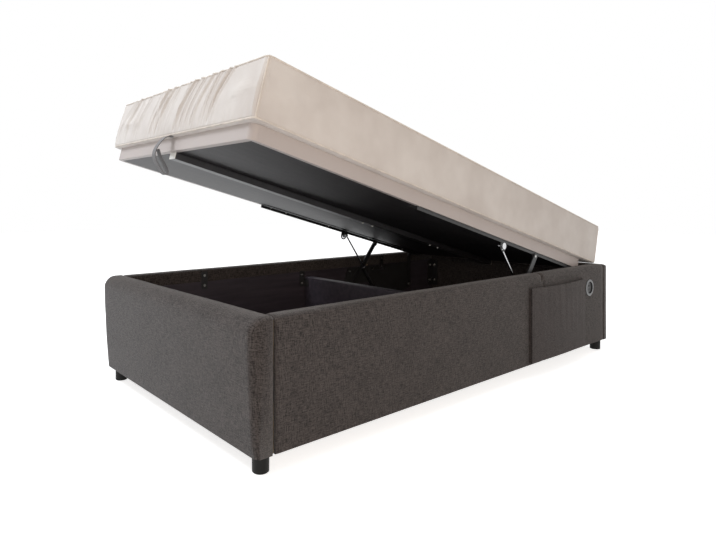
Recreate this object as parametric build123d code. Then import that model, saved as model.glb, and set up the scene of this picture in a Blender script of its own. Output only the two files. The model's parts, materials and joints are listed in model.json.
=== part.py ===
"""Single storage bed with a gas-lift platform, in millimetres.

X runs across the bed, Y from the foot to the head, Z up. The origin is on the floor under the
middle of the bed, at the foot of the centre leg. The platform is drawn flat in its own frame,
x across, u from its foot edge to its head edge, n upwards from its underside, and is then
placed at its raised position.
"""
from build123d import *
from math import atan2, cos, degrees, hypot, radians, sin
import os

os.makedirs("parts", exist_ok=True)

# Base: outside sizes, set round the mattress, and wall build-up
mattress_width = 1000
mattress_length = 2000
base_wider = 46
base_shorter = 8
base_width = mattress_width + base_wider
base_length = mattress_length - base_shorter
rail_top = 405
leg_height = 50
rail_thickness = 50
rail_pad = 12
rail_crown_radius = 18
rail_inner_radius = 8
inner_skin = 3
top_pad = 12
flap_depth = 53
cover_joint_y = 400
cover_joint_gap = 1
cover_end_radius = 5
footboard_thickness = 60
footboard_pad = 20
footboard_bulge = 17
footboard_belly = 4
footboard_roll_radius = 42
footboard_crest_radius = 12
footboard_corner_radius = 10
head_thickness = 40
head_pad = 10
head_drop = 3
head_roll_radius = 14
panel_end_pad = 12

# Floor of the box
batten_width = 20
batten_height = 20
batten_lift = 3
beam_width = 44
floor_thickness = 6
lining_thickness = 3
floor_gap = 0.5

# Divider, and the plates that carry it
divider_y = -20
divider_thickness = 40
divider_height = 248
divider_edge_radius = 4
plate_ys = (-596, -56, 512)
plate_zs = (357, 318, 362)
plate_width = 30
plate_tall = 76
plate_thickness = 1.5
plate_corner_radius = 4
plate_ear_drop = 12
plate_screw_pitch = 43
plate_screw_diameter = 11
plate_screw_head = 1.4
screw_shank_diameter = 5
screw_shank_depth = 14

# Corner brackets
bracket_leg = 42
bracket_thickness = 3
bracket_tall = 150
bracket_bottom = 197
bracket_bolt_diameter = 14
bracket_bolt_head = 4
bracket_bolt_pitch = 90
bracket_bolt_shank = 8

# Legs
leg_diameter = 46
leg_foot_diameter = 45
leg_inset = 40
leg_foot_chamfer = 2
leg_stud_diameter = 8
leg_stud_length = 22
stud_clearance = 0.1

# Platform
side_gap = 5
foot_gap = 6
head_gap = 6
closed_gap = 2.5
rim_height = 46
rim_thickness = 25
rim_corner_radius = 24
rebate_width = 8
board_thickness = 12
underside_thickness = 3
cross_rail_width = 90
cross_rail_us = (940, 1400)
rim_joint_us = (925, 1365)
joint_gap = 0.5
board_gap = 1
tube_width = 40
tube_height = 22
tube_wall = 1.5
tube_inset = 14
cap_thickness = 2
cap_plug = 12
tube_edge_radius = 2
cap_fit = 0.1
tube_screw_pitch = 60
tube_screw_inset = 26
tube_screw_diameter = 9
tube_screw_head = 2.5

# Raised position of the platform, as the photograph shows the bed
lift_angle = 14.65
head_shift = 110.8
head_rise = 23

# Lift mechanism, one set on each side
hinge_plate_thickness = 3
hinge_plate_margin = 22
hinge_plate_top_gap = 4
flush_bolt_raise = 4
flush_bolt_head_diameter = 12
link_thickness = 5
link_width = 24
link_play = 1.5
pivot_diameter = 10
pivot_head_diameter = 18
pivot_head = 3
running_clearance = 0.05
face_clearance = 0.2
pivot_drop = 18
front_pivot_from_head = 399
rear_pivot_from_head = 98
strut_pivot_from_head = 636
strut_drop = 24
front_link_lean = 51.2
rear_link_lean = 87.6
strut_lean = 53.5
strut_open_length = 458
moving_rail_start = 697
moving_rail_end_gap = 30
moving_rail_flange = 40
moving_rail_depth = 10
moving_rail_lug = 8
moving_rail_thickness = 3
rail_screw_us = (750, 840, 1120, 1420, 1700)
rail_screw_diameter = 10
rail_screw_head = 2.5
slot_pin_diameter = 8
slot_length = 20
slot_height = 15
slot_shift = (-2.6, 2.4)
slot_rim = 4
slot_washer_diameter = 18
slot_washer = 2.5
window_diameter = 24
window_shift = (-4, -4.6)
window_rim = 6
window_washer_diameter = 26
window_washer = 1.2
strut_centre_from_rail = 13
cylinder_diameter = 20
cylinder_bore = 16
cylinder_length = 242
cylinder_neck = 14
cylinder_end_wall = 4
gland_length = 8
rod_diameter = 8
rod_length = 233.5
piston_diameter = 15.9
piston_length = 7
strut_eye_diameter = 16
strut_eye_width = 10
stud_diameter = 8
stud_collar_diameter = 14
stud_clip = 1.5

# Mattress
mattress_thickness = 178
mattress_foot_overhang = 20
mattress_corner_radius = 20
mattress_top_radius = 12
mattress_bottom_radius = 24
mattress_crown = 8
mattress_draw = 6

# Pull strap
strap_width = 38
strap_thickness = 2.5
strap_slack = 0.1
strap_root_bottom = 10
strap_reach = 54
strap_rise = 6
strap_loop_drop = 84
strap_loop_out = 9
strap_sewn_length = 16

# Side pocket on the right rail
pocket_foot_end = 294
pocket_head_end = 744
pocket_bottom = 61
pocket_top = 356
pocket_sag = 5
pocket_depth = 15
pocket_sheet = 3
pocket_bow = 6

# Charging port on the right rail
port_y = 817
port_z = 308
port_bezel_diameter = 76
port_bezel = 3
port_body_diameter = 62
port_body_depth = 38
port_recess_diameter = 54
port_recess = 5
port_insert_depth = 16
port_fit = 0.1
socket_large = (13, 5.4)
socket_small = (9.4, 4.4)
socket_tongue = 1.6
socket_tongue_inset = 1.2
socket_depth = 11
socket_spacing = 15

# Lines that several pieces share
half_width = base_width / 2
half_length = base_length / 2
rail_inner_x = half_width - rail_thickness
foot_inner_y = -half_length + footboard_thickness
head_inner_y = half_length - head_thickness
lining_top = rail_top - flap_depth
batten_bottom = leg_height + batten_lift
floor_bottom = batten_bottom + batten_height
floor_top = floor_bottom + floor_thickness
divider_top = floor_top + divider_height
lining_inner_x = rail_inner_x + inner_skin - lining_thickness

platform_half_width = lining_inner_x - side_gap
platform_length = head_inner_y - head_gap - foot_inner_y - foot_gap
closed_foot_y = foot_inner_y + foot_gap
closed_z = rail_top + closed_gap - rim_height
lift = radians(lift_angle)
raised_head_y = closed_foot_y + platform_length - head_shift
raised_head_z = closed_z + head_rise
raised_foot_y = raised_head_y - platform_length * cos(lift)
raised_foot_z = raised_head_z + platform_length * sin(lift)
board_bottom = rim_height - board_thickness
board_half_width = platform_half_width - rim_thickness + rebate_width

# Layers of the mechanism, from the rail inwards
plate_face_x = lining_inner_x - hinge_plate_thickness
link_outer_x = plate_face_x - link_play
link_inner_x = link_outer_x - link_thickness
flange_outer_x = link_inner_x - link_play
flange_inner_x = flange_outer_x - moving_rail_thickness
strut_x = flange_inner_x - strut_centre_from_rail


def block(x0, x1, y0, y1, z0, z1):
    """A box given by its lowest and highest corners."""
    middle = Pos((x0 + x1) / 2, (y0 + y1) / 2, (z0 + z1) / 2)
    return middle * Box(abs(x1 - x0), abs(y1 - y0), abs(z1 - z0))


def pin(x0, x1, y, z, diameter):
    """A round bar along X."""
    return Pos((x0 + x1) / 2, y, z) * Rot(0, 90, 0) * Cylinder(diameter / 2, abs(x1 - x0))


def post(x, y, z0, z1, diameter):
    """A round bar along Z."""
    return Pos(x, y, (z0 + z1) / 2) * Cylinder(diameter / 2, z1 - z0)


def mirrored(piece):
    """The same piece on the other side of the bed."""
    return mirror(piece, about=Plane.YZ)


def raised(piece):
    """A piece drawn in the platform's frame, placed where the raised platform is."""
    return Pos(0, raised_foot_y, raised_foot_z) * Rot(-lift_angle, 0, 0) * piece


def raised_point(u, n):
    """Y and Z of a point of the platform's frame while it is raised."""
    y = raised_foot_y + u * cos(lift) + n * sin(lift)
    z = raised_foot_z - u * sin(lift) + n * cos(lift)
    return y, z


def closed_point(u, n):
    """Y and Z of a point of the platform's frame while it is closed."""
    return closed_foot_y + u, closed_z + n


def save(node, *pieces):
    """Write one node, whose pieces stay separate solids."""
    solids = [solid for piece in pieces for solid in piece.solids()]
    shape = solids[0] if len(solids) == 1 else Compound(solids)
    export_step(shape, f"parts/{node}.step")


def edges_at_end(form, axis, last, keep):
    """Edges of a form's end face along an axis that a test on their middle keeps."""
    face = form.faces().sort_by(axis)[-1 if last else 0]
    return [edge for edge in face.edges() if keep(edge.position_at(0.5))]


# Pivots of the lift, in the Y-Z plane
front_u = platform_length - front_pivot_from_head
rear_u = platform_length - rear_pivot_from_head
strut_u = platform_length - strut_pivot_from_head


def link_base(u, lean):
    """Fixed pivot on the raised link's line that serves both ends of the travel."""
    open_y, open_z = raised_point(u, -pivot_drop)
    shut_y, shut_z = closed_point(u, -pivot_drop)
    along_y = -cos(radians(lean))
    along_z = -sin(radians(lean))
    travel_y = shut_y - open_y
    travel_z = shut_z - open_z
    half_travel = (travel_y ** 2 + travel_z ** 2) / 2
    reach = half_travel / (along_y * travel_y + along_z * travel_z)
    return open_y + reach * along_y, open_z + reach * along_z


front_open = raised_point(front_u, -pivot_drop)
rear_open = raised_point(rear_u, -pivot_drop)
strut_open = raised_point(strut_u, -strut_drop)
front_base = link_base(front_u, front_link_lean)
rear_base = link_base(rear_u, rear_link_lean)
strut_base = (strut_open[0] + strut_open_length * cos(radians(strut_lean)),
              strut_open[1] - strut_open_length * sin(radians(strut_lean)))


def footboard_form():
    """The padded outside of the footboard: bulging face, big roll on top, soft corners."""
    roll_z = rail_top - footboard_roll_radius
    outer_y = -half_length - footboard_bulge
    roll_mid = footboard_roll_radius * (1 - cos(radians(45)))
    crest_mid = footboard_crest_radius * (1 - cos(radians(45)))
    belly = (-half_length - footboard_bulge / 2 - footboard_belly, (leg_height + roll_z) / 2)
    outline = [
        ThreePointArc((-half_length, leg_height), belly, (outer_y, roll_z)),
        ThreePointArc((outer_y, roll_z), (outer_y + roll_mid, rail_top - roll_mid),
                      (outer_y + footboard_roll_radius, rail_top)),
        Line((outer_y + footboard_roll_radius, rail_top),
             (foot_inner_y - footboard_crest_radius, rail_top)),
        ThreePointArc((foot_inner_y - footboard_crest_radius, rail_top),
                      (foot_inner_y - crest_mid, rail_top - crest_mid),
                      (foot_inner_y, rail_top - footboard_crest_radius)),
        Line((foot_inner_y, rail_top - footboard_crest_radius), (foot_inner_y, leg_height)),
        Line((foot_inner_y, leg_height), (-half_length, leg_height)),
    ]
    face = make_face(Plane.YZ * (Curve() + outline))
    form = extrude(face, amount=half_width, both=True)

    def soft(point):
        return point.Z > leg_height + 1 and point.Y < foot_inner_y - 1

    for last in (False, True):
        form = fillet(edges_at_end(form, Axis.X, last, soft), footboard_corner_radius)
    return form


def footboard():
    """Core board and padded cover."""
    core = block(-half_width + panel_end_pad, half_width - panel_end_pad,
                 -half_length + footboard_pad, foot_inner_y - inner_skin,
                 leg_height, rail_top - top_pad)
    return core, footboard_form() - core


def head_panel():
    """Core board and padded cover of the head end, full width like the footboard."""
    top = rail_top - head_drop
    roll_mid = head_roll_radius * (1 - cos(radians(45)))
    crest_mid = rail_inner_radius * (1 - cos(radians(45)))
    outline = [
        Line((half_length, leg_height), (half_length, top - head_roll_radius)),
        ThreePointArc((half_length, top - head_roll_radius),
                      (half_length - roll_mid, top - roll_mid),
                      (half_length - head_roll_radius, top)),
        Line((half_length - head_roll_radius, top), (head_inner_y + rail_inner_radius, top)),
        ThreePointArc((head_inner_y + rail_inner_radius, top),
                      (head_inner_y + crest_mid, top - crest_mid),
                      (head_inner_y, top - rail_inner_radius)),
        Line((head_inner_y, top - rail_inner_radius), (head_inner_y, leg_height)),
        Line((head_inner_y, leg_height), (half_length, leg_height)),
    ]
    face = make_face(Plane.YZ * (Curve() + outline))
    form = extrude(face, amount=half_width, both=True)

    def soft(point):
        return point.Z > leg_height + 1 and point.Y > head_inner_y + 1

    for last in (False, True):
        form = fillet(edges_at_end(form, Axis.X, last, soft), cover_end_radius)
    core = block(-half_width + panel_end_pad, half_width - panel_end_pad,
                 head_inner_y + inner_skin, half_length - head_pad,
                 leg_height, top - top_pad)
    return core, form - core


def rail_core():
    """Board inside the right side rail, from footboard to head panel."""
    return block(rail_inner_x + inner_skin, half_width - rail_pad,
                 foot_inner_y, head_inner_y, leg_height, rail_top - top_pad)


def rail_cover_form(y0, y1, soft_ends):
    """Outside of one length of the right rail's cover, its exposed ends softly rounded."""
    crown_mid = rail_crown_radius * (1 - cos(radians(45)))
    inner_mid = rail_inner_radius * (1 - cos(radians(45)))
    outline = [
        Line((half_width, leg_height), (half_width, rail_top - rail_crown_radius)),
        ThreePointArc((half_width, rail_top - rail_crown_radius),
                      (half_width - crown_mid, rail_top - crown_mid),
                      (half_width - rail_crown_radius, rail_top)),
        Line((half_width - rail_crown_radius, rail_top), (rail_inner_x + rail_inner_radius, rail_top)),
        ThreePointArc((rail_inner_x + rail_inner_radius, rail_top),
                      (rail_inner_x + inner_mid, rail_top - inner_mid),
                      (rail_inner_x, rail_top - rail_inner_radius)),
        Line((rail_inner_x, rail_top - rail_inner_radius), (rail_inner_x, leg_height)),
        Line((rail_inner_x, leg_height), (half_width, leg_height)),
    ]
    face = make_face(Plane.XZ * (Curve() + outline))
    form = Pos(0, y1, 0) * extrude(face, amount=y1 - y0)

    def soft(point):
        return point.Z > leg_height + 1 and point.X > rail_inner_x + 1

    for last in soft_ends:
        form = fillet(edges_at_end(form, Axis.Y, last, soft), cover_end_radius)
    return form


def rail_cover():
    """Padded cover of the right rail in two lengths, folded down over the inside."""
    hollow = rail_core() + block(rail_inner_x, rail_inner_x + inner_skin,
                                 foot_inner_y, head_inner_y, leg_height, lining_top)
    foot_length = rail_cover_form(foot_inner_y, cover_joint_y - cover_joint_gap / 2, (False, True))
    head_length = rail_cover_form(cover_joint_y + cover_joint_gap / 2, head_inner_y, (False,))
    return foot_length - hollow, head_length - hollow


def lining():
    """Thin board that closes the inside of the right rail below the folded cover."""
    return block(lining_inner_x, rail_inner_x + inner_skin,
                 foot_inner_y, head_inner_y, leg_height, lining_top)


def floor_battens():
    """Battens along both rails and across both ends, under the floor panels."""
    z0 = batten_bottom
    z1 = floor_bottom
    right = block(lining_inner_x - batten_width, lining_inner_x, foot_inner_y, head_inner_y, z0, z1)
    inner_x = lining_inner_x - batten_width
    ends = []
    for y0 in (foot_inner_y, head_inner_y - batten_width):
        ends.append(block(beam_width / 2, inner_x, y0, y0 + batten_width, z0, z1))
    pieces = [right] + ends
    return pieces + [mirrored(piece) for piece in pieces]


def floor_beam():
    """Beam down the middle that the centre leg holds up."""
    return block(-beam_width / 2, beam_width / 2, foot_inner_y, head_inner_y,
                 leg_height, floor_bottom)


def floor_panels():
    """Two thin floor boards that meet under the divider."""
    x = lining_inner_x - floor_gap
    front = block(-x, x, foot_inner_y + floor_gap, divider_y - floor_gap / 2, floor_bottom, floor_top)
    rear = block(-x, x, divider_y + floor_gap / 2, head_inner_y - floor_gap, floor_bottom, floor_top)
    return front, rear


def divider():
    """Cross board that parts the box into two compartments and stands on the floor."""
    x = lining_inner_x - floor_gap
    board = block(-x, x, divider_y - divider_thickness / 2, divider_y + divider_thickness / 2,
                  floor_top, divider_top)
    return fillet(board.edges().filter_by(Axis.X).sort_by(Axis.Z)[-2:], divider_edge_radius)


def divider_plate(y, z):
    """Screw plate on the right rail; the one beside the divider has an ear behind it."""
    x0 = lining_inner_x - plate_thickness
    body = block(x0, lining_inner_x, y - plate_width / 2, y + plate_width / 2,
                 z - plate_tall / 2, z + plate_tall / 2)
    body = fillet(body.edges().filter_by(Axis.X), plate_corner_radius)
    ear_y = divider_y - divider_thickness / 2
    if abs(y + plate_width / 2 - ear_y) < plate_width:
        body += block(x0 - plate_width, x0, ear_y - plate_thickness, ear_y,
                      z - plate_tall / 2, divider_top - plate_ear_drop)
    return body


def plate_screws(y, z):
    """Two pan-head screws that hold a plate."""
    face = lining_inner_x - plate_thickness
    screws = []
    for offset in (-plate_screw_pitch / 2, plate_screw_pitch / 2):
        head = pin(face - plate_screw_head, face, y, z + offset, plate_screw_diameter)
        shank = pin(face, face + screw_shank_depth, y, z + offset, screw_shank_diameter)
        screws.append(head + shank)
    return screws


def corner_angle(at_head):
    """Steel angle that ties the right rail to the footboard or the head panel."""
    corner_y = head_inner_y if at_head else foot_inner_y
    inward = -1 if at_head else 1
    z0 = bracket_bottom
    z1 = bracket_bottom + bracket_tall
    on_rail = block(lining_inner_x - bracket_thickness, lining_inner_x,
                    corner_y, corner_y + inward * bracket_leg, z0, z1)
    on_panel = block(lining_inner_x - bracket_leg, lining_inner_x,
                     corner_y, corner_y + inward * bracket_thickness, z0, z1)
    return on_rail + on_panel


def corner_bolts(at_head):
    """Domed bolts through the corner angle into the rail and the panel."""
    corner_y = head_inner_y if at_head else foot_inner_y
    inward = -1 if at_head else 1
    face_x = lining_inner_x - bracket_thickness
    face_y = corner_y + inward * bracket_thickness
    centre = bracket_thickness + (bracket_leg - bracket_thickness) / 2
    middle_z = bracket_bottom + bracket_tall / 2
    bolts = []
    for z in (middle_z - bracket_bolt_pitch / 2, middle_z + bracket_bolt_pitch / 2):
        y = corner_y + inward * centre
        head = pin(face_x - bracket_bolt_head, face_x, y, z, bracket_bolt_diameter)
        head = fillet(head.edges().sort_by(Axis.X)[0], bracket_bolt_head * 0.6)
        bolts.append(head + pin(face_x, face_x + screw_shank_depth, y, z, bracket_bolt_shank))
        x = lining_inner_x - centre
        turn = 90 if at_head else -90
        dome = Rot(0, 90, 0) * Cylinder(bracket_bolt_diameter / 2, bracket_bolt_head)
        dome = Pos(-bracket_bolt_head / 2, 0, 0) * dome
        dome = fillet(dome.edges().sort_by(Axis.X)[0], bracket_bolt_head * 0.6)
        dome += pin(0, screw_shank_depth, 0, 0, bracket_bolt_shank)
        bolts.append(Pos(x, face_y, z) * Rot(0, 0, turn) * dome)
    return bolts


def leg(x, y, top):
    """Turned leg with a threaded stud, screwed up into the board above it."""
    profile = Polyline(
        (0, 0), (leg_foot_diameter / 2 - leg_foot_chamfer, 0), (leg_foot_diameter / 2, leg_foot_chamfer),
        (leg_diameter / 2, top - leg_foot_chamfer), (leg_diameter / 2 - leg_foot_chamfer, top),
        (leg_stud_diameter / 2, top), (leg_stud_diameter / 2, top + leg_stud_length),
        (0, top + leg_stud_length), (0, 0))
    return Pos(x, y, 0) * revolve(make_face(Plane.XZ * profile), Axis.Z)


def leg_places():
    """X, Y and node name of the four corner legs."""
    x = half_width - leg_inset
    foot_y = -half_length + leg_inset
    head_y = half_length - leg_inset / 2 - head_thickness / 4
    return (("leg_foot_right", x, foot_y), ("leg_foot_left", -x, foot_y),
            ("leg_head_right", x, head_y), ("leg_head_left", -x, head_y))


def stud_holes():
    """Holes that take the legs' studs."""
    diameter = leg_stud_diameter + 2 * stud_clearance
    places = [(x, y) for _, x, y in leg_places()] + [(0, 0)]
    return [post(x, y, leg_height, leg_height + leg_stud_length + 2, diameter) for x, y in places]


def hinge_plate():
    """Fixed side plate of the lift: a pressed sheet round the three fixed pivots."""
    top = lining_top - hinge_plate_top_gap - hinge_plate_margin
    centres = [front_base, strut_base, rear_base,
               (front_base[0] + 3 * hinge_plate_margin, top), (rear_base[0], top)]
    rounds = [CenterArc(centre, hinge_plate_margin, 0, 360) for centre in centres]
    sketch = make_hull([edge for arc in rounds for edge in arc.edges()])
    plate = Pos(plate_face_x, 0, 0) * extrude(Plane.YZ * sketch, amount=hinge_plate_thickness)
    notch = plate_width / 2 + hinge_plate_top_gap
    plate -= block(0, half_width, plate_ys[2] - notch, plate_ys[2] + notch,
                   plate_zs[2] - plate_tall / 2 - hinge_plate_top_gap, lining_top)
    low = min(front_base[1], strut_base[1]) + hinge_plate_margin
    window_y = (front_base[0] + strut_base[0]) / 2
    window = Pos(0, window_y + hinge_plate_margin, (low + top) / 2) * Rot(0, 90, 0) * extrude(
        SlotOverall(4 * hinge_plate_margin, hinge_plate_margin, rotation=90), amount=2 * half_width)
    return plate - window


def hinge_plate_bolt_places():
    """Y and Z of the flush bolts that hold the fixed plate to the rail."""
    top = lining_top - hinge_plate_top_gap - hinge_plate_margin
    z = top + flush_bolt_raise
    middle_y = (front_base[0] + rear_base[0]) / 2 - hinge_plate_margin
    return (front_base[0] + 3 * hinge_plate_margin, z), (rear_base[0], z), (middle_y, z)


def flush_bolts():
    """Countersunk bolts through the fixed plate."""
    bolts = []
    for y, z in hinge_plate_bolt_places():
        cone = Pos(plate_face_x, y, z) * Rot(0, 90, 0) * Cone(
            flush_bolt_head_diameter / 2, screw_shank_diameter / 2, hinge_plate_thickness,
            align=(Align.CENTER, Align.CENTER, Align.MIN))
        shank = pin(plate_face_x + hinge_plate_thickness,
                    plate_face_x + hinge_plate_thickness + screw_shank_depth, y, z, screw_shank_diameter)
        bolts.append(cone + shank)
    return bolts


def fixed_pivots():
    """Shouldered pins that the front and rear links turn on, and the stud for the gas strut."""
    pins = []
    for y, z in (front_base, rear_base):
        collar = pin(link_outer_x + face_clearance, plate_face_x, y, z, pivot_head_diameter)
        shaft = pin(link_inner_x - face_clearance, link_outer_x + face_clearance, y, z, pivot_diameter)
        head = pin(link_inner_x - face_clearance - pivot_head, link_inner_x - face_clearance, y, z,
                   pivot_head_diameter)
        pins.append(collar + shaft + head)
    y, z = strut_base
    eye_outer = strut_x + strut_eye_width / 2
    eye_inner = strut_x - strut_eye_width / 2
    collar = pin(eye_outer + face_clearance, plate_face_x, y, z, stud_collar_diameter)
    shaft = pin(eye_inner - face_clearance, eye_outer + face_clearance, y, z, stud_diameter)
    clip = pin(eye_inner - face_clearance - stud_clip, eye_inner - face_clearance, y, z,
               stud_collar_diameter)
    pins.append(collar + shaft + clip)
    return pins


def flat_bar(start, end, hole_at_end):
    """A flat link bar between two pivots, with round ends and bored for its pins."""
    length = hypot(end[0] - start[0], end[1] - start[1])
    turn = degrees(atan2(end[1] - start[1], end[0] - start[0]))
    middle = ((start[0] + end[0]) / 2, (start[1] + end[1]) / 2)
    outline = Pos(*middle) * Rot(0, 0, turn) * SlotCenterToCenter(length, link_width)
    bore = Circle(pivot_diameter / 2 + running_clearance)
    outline -= Pos(*start) * bore
    if hole_at_end:
        outline -= Pos(*end) * bore
    return Pos(link_inner_x, 0, 0) * extrude(Plane.YZ * outline, amount=link_thickness)


def front_link():
    """Long link from the fixed plate to the moving rail."""
    return flat_bar(front_base, front_open, True)


def rear_link():
    """Short link with its own pin, which runs in the moving rail's slot."""
    y, z = rear_open
    washer_outer = flange_inner_x - face_clearance
    bar = flat_bar(rear_base, rear_open, False)
    bar += pin(washer_outer, link_inner_x, y, z, slot_pin_diameter)
    return bar + pin(washer_outer - slot_washer, washer_outer, y, z, slot_washer_diameter)


def along_strut(piece):
    """A piece drawn along Z from the lower strut pivot, turned to the raised strut's line."""
    y, z = strut_base
    return Pos(strut_x, y, z) * Rot(90 - strut_lean, 0, 0) * piece


def gas_cylinder():
    """Pressure tube with an eye at its lower end and a gland at its mouth."""
    bore = cylinder_bore / 2
    tube = Pos(0, 0, (cylinder_neck + cylinder_length) / 2) * Cylinder(
        cylinder_diameter / 2, cylinder_length - cylinder_neck)
    hollow_end = cylinder_length - gland_length
    hollow_start = cylinder_neck + cylinder_end_wall
    tube -= Pos(0, 0, (hollow_start + hollow_end) / 2) * Cylinder(bore, hollow_end - hollow_start)
    tube -= Pos(0, 0, cylinder_length) * Cylinder(
        rod_diameter / 2 + running_clearance, 4 * gland_length)
    neck = Pos(0, 0, cylinder_neck / 2) * Cylinder(rod_diameter / 2, cylinder_neck)
    eye = Rot(0, 90, 0) * Cylinder(strut_eye_diameter / 2, strut_eye_width)
    hole = Rot(0, 90, 0) * Cylinder(stud_diameter / 2 + running_clearance, 2 * strut_eye_width)
    return along_strut(tube + neck + eye - hole)


def gas_rod():
    """Piston rod with its eye, and the pin that runs in the moving rail's window."""
    top = strut_open_length
    rod = Pos(0, 0, top - rod_length / 2) * Cylinder(rod_diameter / 2, rod_length)
    piston = Pos(0, 0, top - rod_length + piston_length / 2) * Cylinder(
        piston_diameter / 2, piston_length)
    eye = Pos(0, 0, top) * Rot(0, 90, 0) * Cylinder(strut_eye_diameter / 2, strut_eye_width)
    body = along_strut(rod + piston + eye)
    y, z = strut_open
    inner = flange_inner_x - face_clearance
    outer = flange_outer_x + face_clearance
    body += pin(strut_x, outer, y, z, slot_pin_diameter)
    body += pin(inner - window_washer, inner, y, z, window_washer_diameter)
    return body + pin(outer, outer + window_washer, y, z, window_washer_diameter)


def rail_lug(u, n, radius):
    """Rounded lug that hangs from the moving rail round a pin, slot or window."""
    neck = block(flange_inner_x, flange_outer_x, u - radius, u + radius, n, -moving_rail_thickness)
    return neck + pin(flange_inner_x, flange_outer_x, u, n, 2 * radius)


def moving_rail():
    """Shallow angle under the platform, with lugs for the links and the strut's window."""
    end = platform_length - moving_rail_end_gap
    inner = flange_outer_x - moving_rail_flange
    level = block(inner, flange_outer_x, moving_rail_start, end, -moving_rail_thickness, 0)
    upright = block(flange_inner_x, flange_outer_x, moving_rail_start, end,
                    -moving_rail_thickness - moving_rail_depth, -moving_rail_thickness)
    window_u = strut_u + window_shift[0]
    window_n = -strut_drop + window_shift[1]
    slot_u = rear_u + slot_shift[0]
    slot_n = -pivot_drop + slot_shift[1]
    lugs = rail_lug(window_u, window_n, window_diameter / 2 + window_rim)
    lugs += rail_lug(front_u, -pivot_drop, pivot_diameter / 2 + moving_rail_lug)
    lugs += rail_lug(slot_u, slot_n, slot_length / 2 + slot_rim)
    holes = pin(0, half_width, window_u, window_n, window_diameter)
    holes += pin(0, half_width, front_u, -pivot_drop, pivot_diameter)
    slot = Pos(slot_u, slot_n) * SlotOverall(slot_length, slot_height)
    return level + upright + lugs - holes - extrude(Plane.YZ * slot, amount=half_width)


def moving_rail_pivot():
    """Rivet that joins the front link to the moving rail."""
    shoulder = pin(flange_outer_x, link_inner_x - face_clearance, front_u, -pivot_drop,
                   pivot_head_diameter)
    shaft = pin(flange_inner_x, link_outer_x - face_clearance, front_u, -pivot_drop,
                pivot_diameter)
    head = pin(flange_inner_x - pivot_head / 2, flange_inner_x, front_u, -pivot_drop,
               pivot_head_diameter)
    return head + shaft + shoulder


def moving_rail_screws():
    """Pan-head screws up into the rim."""
    x = flange_inner_x - rail_screw_diameter / 2 - face_clearance
    screws = []
    for u in rail_screw_us:
        head = post(x, u, -moving_rail_thickness - rail_screw_head, -moving_rail_thickness,
                    rail_screw_diameter)
        screws.append(head + post(x, u, -moving_rail_thickness, screw_shank_depth,
                                  screw_shank_diameter))
    return screws


def rim_section():
    """Cross-section of the right rim: rebated for the boards above and the panel below."""
    outer = platform_half_width
    inner = platform_half_width - rim_thickness
    section = Polyline(
        (outer, 0), (outer, rim_height), (board_half_width, rim_height),
        (board_half_width, board_bottom), (inner, board_bottom), (inner, underside_thickness),
        (board_half_width, underside_thickness), (board_half_width, 0), (outer, 0))
    return make_face(Plane.XZ * section)


def side_rim():
    """Right rim in three lengths that butt at the joints."""
    stops = (rim_thickness,) + rim_joint_us + (platform_length - rim_thickness,)
    lengths = []
    for start, end in zip(stops[:-1], stops[1:]):
        y0 = start + joint_gap / 2
        y1 = end - joint_gap / 2
        lengths.append(Pos(0, y1, 0) * extrude(rim_section(), amount=y1 - y0))
    return lengths


def end_rim():
    """Foot rim, full width, its two outer corners rounded."""
    bar = block(-platform_half_width, platform_half_width, 0, rim_thickness, 0, rim_height)
    corners = [edge for edge in bar.edges().filter_by(Axis.Z) if edge.position_at(0.5).Y < 1]
    bar = fillet(corners, rim_corner_radius)
    inner_y = rim_thickness - rebate_width
    x = board_half_width
    bar -= block(-x, x, inner_y, rim_thickness, board_bottom, rim_height)
    return bar - block(-x, x, inner_y, rim_thickness, 0, underside_thickness)


def cross_rails():
    """Rails across the platform, under the joints of the boards."""
    x = platform_half_width - rim_thickness
    return [block(-x, x, u - cross_rail_width / 2, u + cross_rail_width / 2,
                  underside_thickness, board_bottom) for u in cross_rail_us]


def sheets(n0, n1):
    """Three sheets that fill the rims' rebates and meet over the cross rails."""
    first = rim_thickness - rebate_width
    stops = (first,) + cross_rail_us + (platform_length - first,)
    pieces = []
    for start, end in zip(stops[:-1], stops[1:]):
        pieces.append(block(-board_half_width, board_half_width,
                            start + board_gap / 2, end - board_gap / 2, n0, n1))
    return pieces


def centre_tube():
    """Flat rectangular tube under the middle of the platform, rounded along its edges."""
    start = tube_inset
    end = platform_length - tube_inset
    tube = block(-tube_width / 2, tube_width / 2, start, end, -tube_height, 0)
    tube = fillet(tube.edges().filter_by(Axis.Y), tube_edge_radius)
    return tube - block(-tube_width / 2 + tube_wall, tube_width / 2 - tube_wall, start, end,
                        -tube_height + tube_wall, -tube_wall)


def tube_caps():
    """Plastic caps pushed into both ends of the tube."""
    caps = []
    for face, inward in ((tube_inset, 1), (platform_length - tube_inset, -1)):
        plate = block(-tube_width / 2, tube_width / 2, face - inward * cap_thickness, face,
                      -tube_height, 0)
        plate = fillet(plate.edges().filter_by(Axis.Y), tube_edge_radius)
        plug = block(-tube_width / 2 + tube_wall + cap_fit, tube_width / 2 - tube_wall - cap_fit,
                     face, face + inward * cap_plug,
                     -tube_height + tube_wall + cap_fit, -tube_wall - cap_fit)
        caps.append(plate + plug)
    return caps


def tube_screws():
    """Screws up through the tube into the cross rails, and one at each end."""
    half_pitch = tube_screw_pitch / 2
    places = [u + side for u in cross_rail_us for side in (-half_pitch, half_pitch)]
    screws = []
    for u in places:
        head = post(0, u, -tube_height - tube_screw_head, -tube_height, tube_screw_diameter)
        screws.append(head + post(0, u, -tube_height, underside_thickness + screw_shank_depth,
                                  screw_shank_diameter))
    return screws


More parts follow.
